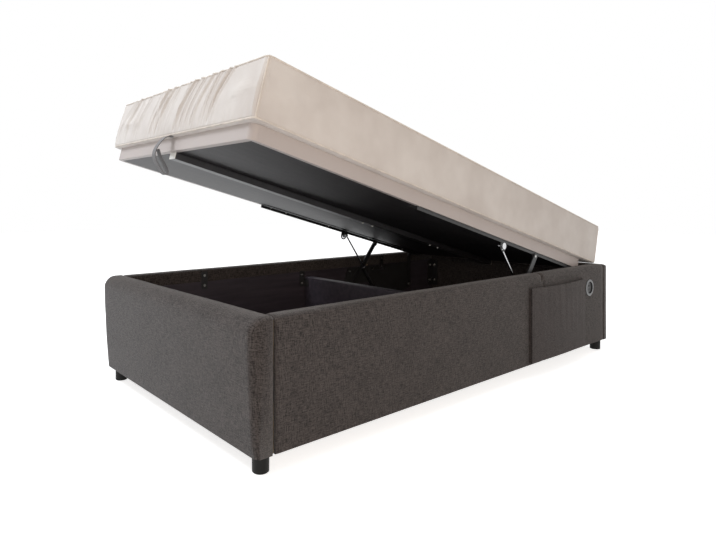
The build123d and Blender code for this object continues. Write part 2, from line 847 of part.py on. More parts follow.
def mattress_plan():
    """Plan outline of the mattress: sides drawn in between rounded corners."""
    x = mattress_width / 2
    y0 = -mattress_foot_overhang
    y1 = y0 + mattress_length
    middle = (y0 + y1) / 2
    sides = [
        ThreePointArc((-x, y0), (0, y0 + mattress_draw), (x, y0)),
        ThreePointArc((x, y0), (x - mattress_draw, middle), (x, y1)),
        ThreePointArc((x, y1), (0, y1 - mattress_draw), (-x, y1)),
        ThreePointArc((-x, y1), (-x + mattress_draw, middle), (-x, y0)),
    ]
    face = make_face(Curve() + sides)
    return fillet(face.vertices(), mattress_corner_radius)


def crowned_section(half_span, shoulder):
    """A section with a flat base, round lower and upper edges and a crowned top."""
    low = mattress_bottom_radius
    high = mattress_top_radius
    low_mid = low * (1 - cos(radians(45)))
    high_mid = high * (1 - cos(radians(45)))
    top = rim_height + mattress_thickness - shoulder
    base = rim_height
    return make_face(Curve() + [
        Line((-half_span + low, base), (half_span - low, base)),
        ThreePointArc((half_span - low, base), (half_span - low_mid, base + low_mid),
                      (half_span, base + low)),
        Line((half_span, base + low), (half_span, top - high)),
        ThreePointArc((half_span, top - high), (half_span - high_mid, top - high_mid),
                      (half_span - high, top)),
        ThreePointArc((half_span - high, top), (0, top + shoulder), (-half_span + high, top)),
        ThreePointArc((-half_span + high, top), (-half_span + high_mid, top - high_mid),
                      (-half_span, top - high)),
        Line((-half_span, top - high), (-half_span, base + low)),
        ThreePointArc((-half_span, base + low), (-half_span + low_mid, base + low_mid),
                      (-half_span + low, base)),
    ])


def mattress():
    """Mattress with a crowned top, rounded edges and drawn-in sides."""
    middle = -mattress_foot_overhang + mattress_length / 2
    across = Plane.XZ * crowned_section(mattress_width / 2, mattress_crown)
    long_form = extrude(across, amount=mattress_length, both=True)
    along = Plane.YZ * crowned_section(mattress_length / 2, mattress_crown)
    cross_form = Pos(0, middle, 0) * extrude(along, amount=mattress_width, both=True)
    plan = extrude(mattress_plan(), amount=2 * mattress_thickness)
    return plan & long_form & cross_form


def pull_strap():
    """Webbing stapled to the foot rim: it bows out of the seam and ends in a sewn loop."""
    root = -strap_thickness / 2 - strap_slack
    crest = rim_height + strap_rise
    waist = -strap_loop_drop / 3
    strand = FilletPolyline(
        (root, strap_root_bottom), (root, rim_height), (root - strap_reach / 2, crest),
        (-strap_reach, waist), (-strap_reach / 2, waist * 2), (strap_loop_out / 3, -strap_loop_drop),
        (strap_loop_out, waist * 2.3), (-strap_reach / 2, waist), (-strap_reach * 0.72, -strap_loop_out),
        radius=(14, 12, 30, 40, 5, 10, 60))
    band = extrude(Plane.YZ * trace(strand, strap_thickness), amount=strap_width / 2, both=True)
    end = strand @ 1
    along = strand % 1
    middle = Pos(end.X, end.Y) * Rot(0, 0, degrees(atan2(along.Y, along.X)))
    patch = middle * Rectangle(strap_sewn_length, strap_sewn_length / 2)
    sewn = extrude(Plane.YZ * patch, amount=strap_width / 2 - strap_thickness, both=True)
    return band + sewn


def pocket():
    """Open-topped pocket: a bowed front sheet with gussets, sewn to the rail at its edges."""
    face_x = half_width
    out = half_width + pocket_depth
    middle = (pocket_foot_end + pocket_head_end) / 2
    outer = ThreePointArc((out, pocket_foot_end), (out + pocket_bow, middle), (out, pocket_head_end))
    inner = ThreePointArc((out - pocket_sheet, pocket_head_end - pocket_sheet),
                          (out + pocket_bow - pocket_sheet, middle),
                          (out - pocket_sheet, pocket_foot_end + pocket_sheet))
    plan = make_face(Curve() + [
        Line((face_x, pocket_foot_end), (out, pocket_foot_end)),
        outer,
        Line((out, pocket_head_end), (face_x, pocket_head_end)),
        Line((face_x, pocket_head_end), (face_x, pocket_head_end - pocket_sheet)),
        Line((face_x, pocket_head_end - pocket_sheet), (out - pocket_sheet, pocket_head_end - pocket_sheet)),
        inner,
        Line((out - pocket_sheet, pocket_foot_end + pocket_sheet), (face_x, pocket_foot_end + pocket_sheet)),
        Line((face_x, pocket_foot_end + pocket_sheet), (face_x, pocket_foot_end)),
    ])
    wall = Pos(0, 0, pocket_bottom) * extrude(plan, amount=pocket_top - pocket_bottom)
    floor_plan = make_face(Curve() + [
        Line((face_x, pocket_foot_end), (out, pocket_foot_end)),
        outer,
        Line((out, pocket_head_end), (face_x, pocket_head_end)),
        Line((face_x, pocket_head_end), (face_x, pocket_foot_end)),
    ])
    wall += Pos(0, 0, pocket_bottom) * extrude(floor_plan, amount=pocket_sheet)
    sag = make_face(Plane.YZ * (Curve() + [
        ThreePointArc((pocket_foot_end, pocket_top), (middle, pocket_top - pocket_sag),
                      (pocket_head_end, pocket_top)),
        Line((pocket_head_end, pocket_top), (pocket_head_end, pocket_top + pocket_sag)),
        Line((pocket_head_end, pocket_top + pocket_sag), (pocket_foot_end, pocket_top + pocket_sag)),
        Line((pocket_foot_end, pocket_top + pocket_sag), (pocket_foot_end, pocket_top)),
    ]))
    return wall - extrude(sag, amount=2 * half_width)


def port_housing():
    """Round housing let into the rail, with a bezel and a shallow recess."""
    body = pin(half_width - port_body_depth, half_width, port_y, port_z, port_body_diameter)
    bezel = pin(half_width, half_width + port_bezel, port_y, port_z, port_bezel_diameter)
    bezel = fillet(bezel.edges().sort_by(Axis.X)[-1], port_bezel * 0.6)
    seat = half_width + port_bezel - port_recess - port_insert_depth
    recess = pin(seat, half_width + port_bezel, port_y, port_z, port_recess_diameter)
    return body + bezel - recess


def port_insert():
    """Socket block in the housing, with one wide and one narrow socket, each with its tongue."""
    face = half_width + port_bezel - port_recess
    block_form = pin(face - port_insert_depth, face, port_y, port_z,
                     port_recess_diameter - 2 * port_fit)
    for (wide, tall), z in ((socket_large, port_z + socket_spacing / 2),
                            (socket_small, port_z - socket_spacing / 2)):
        floor_x = face - socket_depth
        half_tongue = wide / 2 - socket_tongue_inset
        block_form -= block(floor_x, face, port_y - wide / 2, port_y + wide / 2,
                            z - tall / 2, z + tall / 2)
        block_form += block(floor_x, face - socket_tongue_inset, port_y - half_tongue,
                            port_y + half_tongue, z - socket_tongue / 2, z + socket_tongue / 2)
    return block_form


def port_hole():
    """Round hole that takes the port's housing."""
    return pin(half_width - port_body_depth - 1, half_width, port_y, port_z,
               port_body_diameter + 2 * port_fit)


def build_base():
    """Everything that stands still."""
    holes = stud_holes()
    right_screws = [screw for y, z in zip(plate_ys, plate_zs) for screw in plate_screws(y, z)]
    right_bolts = corner_bolts(False) + corner_bolts(True)
    right_flush = flush_bolts()
    rail_fasteners = right_screws + right_bolts + right_flush
    left_fasteners = [mirrored(piece) for piece in rail_fasteners]

    core, cover = footboard()
    save("footboard_core", core - holes - right_bolts - left_fasteners)
    save("footboard_cover", cover - right_bolts - left_fasteners)
    core, cover = head_panel()
    save("head_panel_core", core - holes - right_bolts - left_fasteners)
    save("head_panel_cover", cover - right_bolts - left_fasteners)

    board = rail_core() - rail_fasteners
    foot_cover, head_cover = rail_cover()
    foot_cover -= rail_fasteners
    head_cover -= rail_fasteners
    inner_board = lining() - rail_fasteners
    save("side_rail_core_left", mirrored(board))
    save("side_rail_cover_left", mirrored(foot_cover), mirrored(head_cover))
    save("inner_lining_left", mirrored(inner_board))
    save("side_rail_core_right", board - port_hole())
    save("side_rail_cover_right", foot_cover, head_cover - port_hole())
    save("inner_lining_right", inner_board)

    save("floor_battens", *floor_battens())
    save("centre_floor_beam", floor_beam() - holes)
    front, rear = floor_panels()
    save("floor_panel_front", front)
    save("floor_panel_rear", rear)
    save("divider_board", divider())

    plates = [divider_plate(y, z) - right_screws for y, z in zip(plate_ys, plate_zs)]
    save("divider_plates", *plates, *[mirrored(piece) for piece in plates])
    save("divider_plate_screws", *right_screws, *[mirrored(piece) for piece in right_screws])
    angles = [corner_angle(at_head) - right_bolts for at_head in (False, True)]
    save("corner_angles", *angles, *[mirrored(piece) for piece in angles])
    save("corner_bolts", *right_bolts, *[mirrored(piece) for piece in right_bolts])

    for node, x, y in leg_places():
        save(node, leg(x, y, leg_height))
    save("leg_centre", leg(0, 0, leg_height))

    plate = hinge_plate() - right_flush
    save("hinge_plate_right", plate)
    save("hinge_plate_left", mirrored(plate))
    save("hinge_plate_bolts", *right_flush, *[mirrored(piece) for piece in right_flush])
    pivots = fixed_pivots()
    save("fixed_pivots", *pivots, *[mirrored(piece) for piece in pivots])

    save("side_pocket", pocket())
    save("charging_port_housing", port_housing())
    save("charging_port_sockets", port_insert())


def build_mechanism():
    """Links and gas struts of both sides."""
    pieces = (("front_link", front_link()), ("rear_link", rear_link()),
              ("gas_cylinder", gas_cylinder()), ("gas_rod", gas_rod()))
    for name, piece in pieces:
        save(f"{name}_right", piece)
        save(f"{name}_left", mirrored(piece))


def build_platform():
    """Lifting platform with its rim, boards, tube and moving rails."""
    right_screws = moving_rail_screws()
    left_screws = [mirrored(piece) for piece in right_screws]
    below = tube_screws()

    rail = moving_rail() - right_screws
    save("moving_rail_right", raised(rail))
    save("moving_rail_left", raised(mirrored(rail)))
    pivot = moving_rail_pivot()
    save("moving_rail_pivots", raised(pivot), raised(mirrored(pivot)))
    save("moving_rail_screws", *[raised(piece) for piece in right_screws + left_screws])

    rims = [length - right_screws for length in side_rim()]
    save("platform_rim_right", *[raised(length) for length in rims])
    save("platform_rim_left", *[raised(mirrored(length)) for length in rims])
    save("platform_rim_foot", raised(end_rim()))
    head = Pos(0, platform_length, 0) * mirror(end_rim(), about=Plane.XZ)
    save("platform_rim_head", raised(head))
    save("platform_cross_rails", *[raised(rail - below) for rail in cross_rails()])
    for place, board in zip(("foot", "middle", "head"), sheets(board_bottom, rim_height)):
        save(f"platform_board_{place}", raised(board))
    panels = [panel - below for panel in sheets(0, underside_thickness)]
    save("platform_underside", *[raised(panel) for panel in panels])
    save("centre_tube", raised(centre_tube() - below))
    save("centre_tube_caps", *[raised(cap) for cap in tube_caps()])
    save("centre_tube_screws", *[raised(screw) for screw in below])
    save("mattress", raised(mattress()))
    save("pull_strap", raised(pull_strap()))


build_base()
build_mechanism()
build_platform()
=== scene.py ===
# %% [markdown]
# # Dressing a storage bed
# The CAD model gives every rigid board, bar and screw of this bed, in metres, with the joints that
# let its mattress platform lift. This lesson puts cloth, padding and finishes on that frame. It
# loads the frame first, because every new piece is placed by what the CAD says.

# %% Load the frame
import json
import math
import random

import bmesh
import bpy
from mathutils import Matrix, Vector, noise
from mathutils.bvhtree import BVHTree


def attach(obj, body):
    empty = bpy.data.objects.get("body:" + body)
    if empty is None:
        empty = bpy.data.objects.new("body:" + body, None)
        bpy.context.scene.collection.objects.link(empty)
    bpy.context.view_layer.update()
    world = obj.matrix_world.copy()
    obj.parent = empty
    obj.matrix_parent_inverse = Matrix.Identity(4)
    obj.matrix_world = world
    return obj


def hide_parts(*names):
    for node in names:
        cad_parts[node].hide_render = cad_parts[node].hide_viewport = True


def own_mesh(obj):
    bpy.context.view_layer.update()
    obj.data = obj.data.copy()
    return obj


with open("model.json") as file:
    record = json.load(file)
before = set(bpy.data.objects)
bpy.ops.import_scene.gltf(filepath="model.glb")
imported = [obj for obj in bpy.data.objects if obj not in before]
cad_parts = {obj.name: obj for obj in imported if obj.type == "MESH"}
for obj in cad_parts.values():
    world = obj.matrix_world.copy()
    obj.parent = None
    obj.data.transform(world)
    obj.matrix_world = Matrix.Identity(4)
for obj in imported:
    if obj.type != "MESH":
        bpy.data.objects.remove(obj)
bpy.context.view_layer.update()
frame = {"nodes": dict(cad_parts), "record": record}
nodes = frame["nodes"]
MM = 0.001

# %% [markdown]
# The photograph looks at the near foot corner from a little above the raised platform's pivots.
# Its camera was level, so uprights stay upright, and the frame was cropped off centre, which a
# lens shift repeats without tilting anything.

# %% Camera
PHOTO_WIDTH = 716
PHOTO_HEIGHT = 540
FOCAL_PIXELS = 557.0
HORIZON_PIXEL = (306.17, 202.16)
CAMERA_PLACE = (1.6766, -1.7721, 0.6955)
CAMERA_TURN = 50.96
camera_data = bpy.data.cameras.new("photo_camera")
camera_data.sensor_width = 36
camera_data.lens = FOCAL_PIXELS / PHOTO_WIDTH * camera_data.sensor_width
camera_data.shift_x = (PHOTO_WIDTH / 2 - HORIZON_PIXEL[0]) / PHOTO_WIDTH
camera_data.shift_y = (HORIZON_PIXEL[1] - PHOTO_HEIGHT / 2) / PHOTO_WIDTH
camera = bpy.data.objects.new("photo_camera", camera_data)
camera.location = CAMERA_PLACE
camera.rotation_euler = (math.radians(90), 0, math.radians(CAMERA_TURN))
bpy.context.scene.collection.objects.link(camera)
bpy.context.scene.camera = camera
print("lens", round(camera_data.lens, 2))
print("shift", round(camera_data.shift_x, 4), round(camera_data.shift_y, 4))

# %% [markdown]
# Shader maths reads best as plain arithmetic. `Value` wraps one socket, and each operator adds the
# Math node that it stands for, so `1 - mask` and `weft * 0.5 + warp` can be written as they sound.
# `Finish` holds a material and makes every other node with one method.

# %% Shader arithmetic
class Value:
    """A socket of a node tree that takes part in Python expressions."""

    def __init__(self, tree, socket):
        self.tree = tree
        self.socket = socket

    def maths(self, operation, *operands):
        made = self.tree.nodes.new("ShaderNodeMath")
        made.operation = operation
        for entry, operand in zip(made.inputs, operands):
            plug(self.tree, entry, operand)
        return Value(self.tree, made.outputs[0])

    def __add__(self, other): return self.maths("ADD", self, other)
    def __radd__(self, other): return self.maths("ADD", other, self)
    def __sub__(self, other): return self.maths("SUBTRACT", self, other)
    def __rsub__(self, other): return self.maths("SUBTRACT", other, self)
    def __mul__(self, other): return self.maths("MULTIPLY", self, other)
    def __rmul__(self, other): return self.maths("MULTIPLY", other, self)
    def __truediv__(self, other): return self.maths("DIVIDE", self, other)
    def __rtruediv__(self, other): return self.maths("DIVIDE", other, self)
    def __gt__(self, other): return self.maths("GREATER_THAN", self, other)
    def __abs__(self): return self.maths("ABSOLUTE", self)
    def sine(self): return self.maths("SINE", self)
    def whole(self): return self.maths("FLOOR", self)
    def part(self): return self.maths("FRACT", self)


def plug(tree, entry, value):
    """Give an input a link or a plain number."""
    if isinstance(value, Value):
        tree.links.new(value.socket, entry)
    elif hasattr(value, "__len__") and len(value) == 3 and entry.type == "RGBA":
        entry.default_value = (*value, 1)
    else:
        entry.default_value = value


class Finish:
    """One material round a Principled shader."""

    def __init__(self, name, **plain):
        self.material = bpy.data.materials.new(name)
        self.material.use_nodes = True
        self.tree = self.material.node_tree
        self.shader = next(n for n in self.tree.nodes if n.type == "BSDF_PRINCIPLED")
        for key, value in plain.items():
            plug(self.tree, self.shader.inputs[key.replace("_", " ").title()], value)

    def node(self, kind, settings=None, sockets=None, out=0):
        made = self.tree.nodes.new("ShaderNode" + kind)
        for key, value in (settings or {}).items():
            setattr(made, key, value)
        for key, value in (sockets or {}).items():
            plug(self.tree, made.inputs[key], value)
        return Value(self.tree, made.outputs[out])

    def coordinates(self, kind="Object"):
        return self.node("TexCoord", out=kind)

    def parts(self, vector):
        split = self.node("SeparateXYZ", sockets={0: vector})
        return [Value(self.tree, split.socket.node.outputs[i]) for i in range(3)]

    def stretched(self, vector, scale):
        return self.node("Mapping", sockets={"Vector": vector, "Scale": scale})

    def noise(self, vector, scale, detail=2.0, roughness=0.5):
        return self.node("TexNoise", sockets={"Vector": vector, "Scale": scale, "Detail": detail,
                                              "Roughness": roughness})

    def between(self, factor, first, second):
        return self.node("Mix", {"data_type": "RGBA"}, {0: factor, 6: first, 7: second}, out=2)

    def spread(self, value, low, high, to_low=0.0, to_high=1.0):
        return self.node("MapRange", sockets={0: value, 1: low, 2: high, 3: to_low, 4: to_high})

    def feed(self, name, value):
        plug(self.tree, self.shader.inputs[name], value)

    def bump(self, height, distance, strength=1.0):
        self.feed("Normal", self.node("Bump", sockets={"Height": height, "Distance": distance,
                                                       "Strength": strength}))


print("shader helpers ready")

# %% [markdown]
# The base is covered in a grey-brown linen weave. Up close it is a plain weave whose threads vary
# in thickness and shade, and from a few steps away only that variation is left, as short streaks
# along both thread directions. The pattern follows the piece's own UV map, measured in metres, so
# that the threads run round the padded edges with the cloth.

# %% Woven upholstery
STREAK_LENGTHS = 45
STREAK_WIDTHS = 300
SPECKLES = 230
CLOUDS = 9


def woven(name, dark, light, thread=1.3 * MM, slub=0.6, relief=0.35 * MM):
    """A plain weave with slubs: UV in metres, and so many streaks, speckles or clouds to the metre."""
    made = Finish(name, roughness=0.92, sheen_weight=0.2, sheen_roughness=0.5)
    made.feed("Specular IOR Level", 0.15)
    uv = made.coordinates("UV")
    u, v, _ = made.parts(uv)
    warp = (u * (math.pi / thread)).sine()
    weft = (v * (math.pi / thread)).sine()
    over = (((u / thread).whole() + (v / thread).whole()) * 0.5).part() > 0.25
    threads = abs(warp) * 0.38 + abs(weft) * 0.38 + over * 0.24
    along = made.noise(made.stretched(uv, (STREAK_LENGTHS, STREAK_WIDTHS, 1)), 1.0, 1)
    across = made.noise(made.stretched(uv, (STREAK_WIDTHS, STREAK_LENGTHS, 1)), 1.0, 1)
    speckle = made.noise(made.stretched(uv, (SPECKLES, SPECKLES, 1)), 1.0, 1)
    cloud = made.noise(made.stretched(uv, (CLOUDS, CLOUDS, 1)), 1.0, 3)
    shade = (along + across) * (slub * 0.5) + speckle * (0.9 - slub) + cloud * 0.1
    shade = made.spread(shade + (threads - 0.5) * 0.06, 0.40, 0.60)
    made.feed("Base Color", made.between(shade, dark, light))
    made.bump(threads * 0.7 + speckle, relief)
    return made.material


linen = woven("upholstery_linen", (0.017, 0.0145, 0.014), (0.086, 0.073, 0.069))
pocket_linen = woven("pocket_cloth", (0.024, 0.020, 0.0195), (0.070, 0.058, 0.056),
                     thread=0.9 * MM, slub=0.45, relief=0.2 * MM)
print("woven finishes", linen.name, pocket_linen.name)

# %% [markdown]
# Metal and plastic parts need less: a base colour that drifts a little, and roughness that varies
# more than the colour does. One function makes all of them, because only numbers differ. Boards
# have a second one, which draws its noise out along the grain.

# %% Metal, plastic and board finishes
def plain_finish(name, colour, roughness, metallic=0.0, drift=0.12, grain=60.0, relief=0.05 * MM,
                 coat=0.0, wear=0.12, shine=0.5):
    """A smooth surface whose shade and gloss drift over the piece."""
    made = Finish(name, metallic=metallic, coat_weight=coat, coat_roughness=0.15)
    made.feed("Specular IOR Level", shine)
    place = made.stretched(made.coordinates(), (1, 1, 1))
    cloud = made.noise(place, grain * 0.12, 3)
    fine = made.noise(place, grain * 6, 2, 0.6)
    shade = made.spread(cloud, 0.3, 0.7)
    darker = tuple(c * (1 - drift) for c in colour)
    lighter = tuple(min(1, c * (1 + drift)) for c in colour)
    made.feed("Base Color", made.between(shade, darker, lighter))
    made.feed("Roughness", fine * wear + cloud * wear + (roughness - wear))
    made.bump(fine, relief, 0.6)
    return made.material


def boarded(name, dark, light, roughness, along="Y", relief=0.1 * MM, shine=0.5):
    """Wood or chipboard with its grain drawn out along one axis."""
    made = Finish(name)
    made.feed("Specular IOR Level", shine)
    squeeze = {"X": (1, 14, 14), "Y": (14, 1, 14), "Z": (14, 14, 1), "none": (6, 6, 6)}[along]
    place = made.stretched(made.coordinates(), squeeze)
    figure = made.noise(place, 3.2, 5, 0.62)
    pores = made.noise(place, 40, 3, 0.7)
    shade = made.spread(figure * 0.7 + pores * 0.3, 0.36, 0.64)
    made.feed("Base Color", made.between(shade, dark, light))
    made.feed("Roughness", pores * 0.2 + (roughness - 0.1))
    made.bump(pores, relief, 0.7)
    return made.material


finishes = {
    "black_steel": plain_finish("black_steel", (0.020, 0.020, 0.021), 0.48, relief=0.12 * MM, grain=160),
    "zinc_screw": plain_finish("zinc_screw", (0.62, 0.61, 0.58), 0.34, 1.0),
    "link_steel": plain_finish("link_steel", (0.016, 0.016, 0.017), 0.42, grain=120, relief=0.1 * MM),
    "strut_black": plain_finish("strut_black", (0.022, 0.022, 0.024), 0.34, coat=0.3),
    "strut_rod": plain_finish("strut_rod", (0.60, 0.60, 0.61), 0.16, 1.0, drift=0.03, wear=0.05),
    "rim_foil": plain_finish("rim_foil", (0.46, 0.41, 0.39), 0.5, drift=0.03, grain=30, relief=0.03 * MM),
    "dark_tube": plain_finish("dark_tube", (0.030, 0.029, 0.032), 0.40, relief=0.06 * MM, grain=120),
    "white_plastic": plain_finish("white_plastic", (0.80, 0.79, 0.76), 0.42, drift=0.03),
    "dark_plastic": plain_finish("dark_plastic", (0.012, 0.012, 0.013), 0.30, coat=0.4, drift=0.05),
    "port_insert": plain_finish("port_insert", (0.030, 0.030, 0.032), 0.45, drift=0.06),
    "black_leg": plain_finish("black_leg", (0.004, 0.0035, 0.003), 0.5, wear=0.08, shine=0.2),
    "underside_panel": boarded("underside_panel", (0.010, 0.009, 0.010), (0.024, 0.021, 0.022), 0.5,
                               shine=0.3),
    "dark_laminate": boarded("dark_laminate", (0.022, 0.017, 0.024), (0.050, 0.040, 0.052), 0.55),
    "pine": boarded("pine", (0.34, 0.22, 0.11), (0.58, 0.42, 0.25), 0.6),
    "platform_board": boarded("platform_board", (0.30, 0.21, 0.12), (0.44, 0.33, 0.21), 0.65, "none"),
    "core_board": boarded("core_board", (0.36, 0.27, 0.17), (0.58, 0.46, 0.32), 0.7, "none"),
    "upholstery_linen": linen,
    "pocket_cloth": pocket_linen,
}
print(len(finishes), "finishes")

# %% [markdown]
# Each CAD node keeps its shape and takes the finish of the slot that its record names.

# %% Finish the CAD nodes
slot_of = {part["node"]: part["material_slot"] for part in frame["record"]["subparts"]}


def paint(thing, material):
    """Give a mesh object this one material."""
    thing.data.materials.clear()
    thing.data.materials.append(material)


for node_name, thing in nodes.items():
    if slot_of[node_name] in finishes:
        paint(thing, finishes[slot_of[node_name]])
print("painted", len(nodes), "CAD nodes")

# %% [markdown]
# Every new piece is drawn as a bmesh in the bed's own frame and becomes an object that stays at
# the origin, so that patterns on Object coordinates sit on it as they do on the CAD nodes.

# %% New objects
def add_object(name, bm, material, smooth=True):
    """A new object at the origin from a bmesh whose places are in metres in the bed's frame."""
    mesh = bpy.data.meshes.new(name)
    bm.to_mesh(mesh)
    bm.free()
    thing = bpy.data.objects.new(name, mesh)
    bpy.context.scene.collection.objects.link(thing)
    mesh.materials.append(material)
    for polygon in mesh.polygons:
        polygon.use_smooth = smooth
    return thing


print("new pieces stay at the origin")

# %% [markdown]
# Padding over a board is a section drawn once and pulled along the board. The section starts as a
# few corners in one flat face, and a vertex bevel rounds the padded ones. Its outline is measured,
# because the cloth's UV map runs round it.

# %% Sections and their UV maps
def section_face(bm, corners, rounds, place, step):
    """A flat face through corners given in mm, some rounded, its long edges cut every step."""
    verts = [bm.verts.new(place(*corner)) for corner in corners]
    bm.faces.new(verts)
    for number, radius in sorted(rounds.items(), reverse=True):
        bmesh.ops.bevel(bm, geom=[verts[number]], offset=radius * MM, offset_type="OFFSET",
                        segments=6, profile=0.5, affect="VERTICES", material=-1)
    for edge in list(bm.edges):
        cuts = int(edge.calc_length() / (step * MM))
        if cuts:
            bmesh.ops.subdivide_edges(bm, edges=[edge], cuts=cuts)
    bm.faces.ensure_lookup_table()
    return bm.faces[0]


def arc_lengths(loop, flat):
    """Flat points round a section, each with its distance along the outline."""
    points = [flat(vert.co) for vert in loop]
    points.append(points[0])
    lengths = [0.0]
    for first, second in zip(points[:-1], points[1:]):
        lengths.append(lengths[-1] + (second - first).length)
    return points, lengths


def distance_along(points, lengths, spot):
    """How far along the outline the nearest point to a spot lies."""
    best = (1e9, 0.0)
    for first, second, start in zip(points[:-1], points[1:], lengths):
        run = second - first
        share = max(0, min(1, (spot - first).dot(run) / run.length_squared))
        best = min(best, ((first + run * share - spot).length, start + run.length * share))
    return best[1]


def unroll(bm, axis, flat, points, lengths):
    """UVs in metres: u along the piece, v round its section, and flat on its two ends."""
    layer = bm.loops.layers.uv.new("weave")
    known = {}
    for face in bm.faces:
        on_end = abs(face.normal[axis]) > 0.8
        for loop in face.loops:
            spot = flat(loop.vert.co)
            if on_end:
                loop[layer].uv = spot
                continue
            if loop.vert not in known:
                known[loop.vert] = distance_along(points, lengths, spot)
            loop[layer].uv = (loop.vert.co[axis], known[loop.vert])


print("section helpers ready")

# %% [markdown]
# An extrude gives the section its length, and cuts along it give the cloth vertices that can be
# moved. Real cloth is never quite flat, so slow noise lifts it by about a millimetre, and small
# puckers gather where it is pulled round an end.

# %% Padded cover
RAIL_FOOT = 50
CUT_SPACING = 12


def soft_noise(spot, size, seed=0):
    """Slow noise between -1 and 1 over lengths of about the given size in metres."""
    return noise.noise(spot / size + Vector((seed, seed * 1.7, -seed)))


def padded_cover(name, corners, rounds, axis, start, end, place, flat, end_round, ripple, step=28):
    """Padded cloth round a board: a rounded section pulled along an axis, then loosened.

    end_round has the radius in mm at its low and high end. The bottom edge stays level.
    """
    bm = bmesh.new()
    face = section_face(bm, corners, rounds, place, step)
    points, lengths = arc_lengths(list(face.verts), flat)
    grown = bmesh.ops.extrude_face_region(bm, geom=[face])
    moved = [item for item in grown["geom"] if isinstance(item, bmesh.types.BMVert)]
    shift = Vector((0, 0, 0))
    shift[axis] = (end - start) * MM
    bmesh.ops.translate(bm, verts=moved, vec=shift)
    long_edges = []
    for edge in bm.edges:
        run = abs((edge.verts[0].co - edge.verts[1].co)[axis])
        if abs(run - abs(shift[axis])) < 1e-6:
            long_edges.append(edge)
    cuts = int(abs(end - start) / CUT_SPACING)
    bmesh.ops.subdivide_edges(bm, edges=long_edges, cuts=cuts, use_grid_fill=True)
    bmesh.ops.recalc_face_normals(bm, faces=bm.faces)
    unroll(bm, axis, flat, points, lengths)
    low, high = sorted((start * MM, end * MM))
    bm.normal_update()
    pushes = {}
    for vert in bm.verts:
        near_low = vert.co[axis] - low
        near_high = high - vert.co[axis]
        inset = 0.0
        for gap, radius in ((near_low, end_round[0] * MM), (near_high, end_round[1] * MM)):
            if gap < radius:
                inset += radius - math.sqrt(max(0, radius ** 2 - (radius - gap) ** 2))
        pushes[vert] = -inset + ripple(vert.co, min(near_low, near_high))
    outline_normals = {}
    for face in bm.faces:
        if abs(face.normal[axis]) < 0.5:
            for vert in face.verts:
                outline_normals[vert] = outline_normals.get(vert, Vector()) + face.normal
    for vert, push in pushes.items():
        if vert in outline_normals:
            way = outline_normals[vert].copy()
            way[axis] = 0
            if vert.co.z < (RAIL_FOOT + 1) * MM:
                way.z = 0
            if way.length > 1e-6:
                vert.co += way.normalized() * push
    thing = add_object(name, bm, linen)
    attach(thing, "base")
    print(name, len(thing.data.polygons), "faces")
    return thing


def gentle_ripple(seed, height=0.9):
    """Slow swells all over, with small puckers where the cloth is pulled round an end."""
    def ripple(spot, from_end):
        slow = soft_noise(spot, 0.16, seed) * 0.45 + soft_noise(spot, 0.055, seed + 9) * 0.2
        drawn = Vector((spot.x, spot.y * 0.2, spot.z))
        pucker = max(0, 1 - from_end / 0.03) * soft_noise(drawn, 0.014, seed) * 0.7
        return (slow + pucker) * height * MM
    return ripple


print("padded covers are cut every", CUT_SPACING, "mm")

# %% [markdown]
# Each side rail is covered in two lengths that meet at a seam. The cloth goes up the outside over
# 12 mm of padding, across the top and down the inside, where it ends as a thin stapled flap.

# %% Side rail cloth
HALF_WIDTH = 523
RAIL_TOP = 405
RAIL_INNER = 473
PADDING = 12
FLAP_THICKNESS = 3
FLAP_END = 352
FOOT_SEAM = -936
HEAD_SEAM = 956
RAIL_JOINT = 400
HALF_GAP = 0.5
SIDES = (("right", 1), ("left", -1))

for side, sign in SIDES:
    flap_back = RAIL_INNER + FLAP_THICKNESS
    board_face = HALF_WIDTH - PADDING
    board_top = RAIL_TOP - PADDING
    rail_corners = [(HALF_WIDTH, RAIL_FOOT), (HALF_WIDTH, RAIL_TOP), (RAIL_INNER, RAIL_TOP),
                    (RAIL_INNER, FLAP_END), (flap_back, FLAP_END), (flap_back, board_top),
                    (board_face, board_top), (board_face, RAIL_FOOT)]
    lengths = (("foot", FOOT_SEAM, RAIL_JOINT - HALF_GAP, (1, 6)),
               ("head", RAIL_JOINT + HALF_GAP, HEAD_SEAM, (6, 1)))
    for part_name, start, end, end_round in lengths:
        padded_cover(
            f"side_rail_cloth_{side}_{part_name}", rail_corners, {1: 18, 2: 8, 0: 2, 3: 1}, 1, start, end,
            lambda a, b, s=sign, y=start: Vector((s * a * MM, y * MM, b * MM)),
            lambda spot: Vector((spot.x, spot.z)), end_round, gentle_ripple(2 + sign + len(part_name)))
    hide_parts(f"side_rail_cover_{side}")

# %% [markdown]
# The charging port sits in a round hole in the cloth. A boolean with a short cylinder cuts it, and
# the cylinder is thrown away afterwards.

# %% Hole for the charging port
PORT_Y = 817
PORT_Z = 308
PORT_HOLE = 66
DRILL_LENGTH = 40


def bored(thing, centre, diameter, depth):
    """Cut a round hole along X into an object."""
    bm = bmesh.new()
    bmesh.ops.create_cone(bm, cap_ends=True, segments=48, radius1=diameter / 2 * MM,
                          radius2=diameter / 2 * MM, depth=depth * MM)
    bmesh.ops.rotate(bm, matrix=Matrix.Rotation(math.radians(90), 3, "Y"), verts=bm.verts)
    bmesh.ops.translate(bm, vec=[v * MM for v in centre], verts=bm.verts)
    drill = add_object("drill", bm, linen)
    cut = thing.modifiers.new("port_hole", "BOOLEAN")
    cut.operation = "DIFFERENCE"
    cut.object = drill
    result = bpy.data.meshes.new_from_object(thing.evaluated_get(bpy.context.evaluated_depsgraph_get()))
    thing.modifiers.remove(cut)
    thing.data = result
    bpy.data.objects.remove(drill)


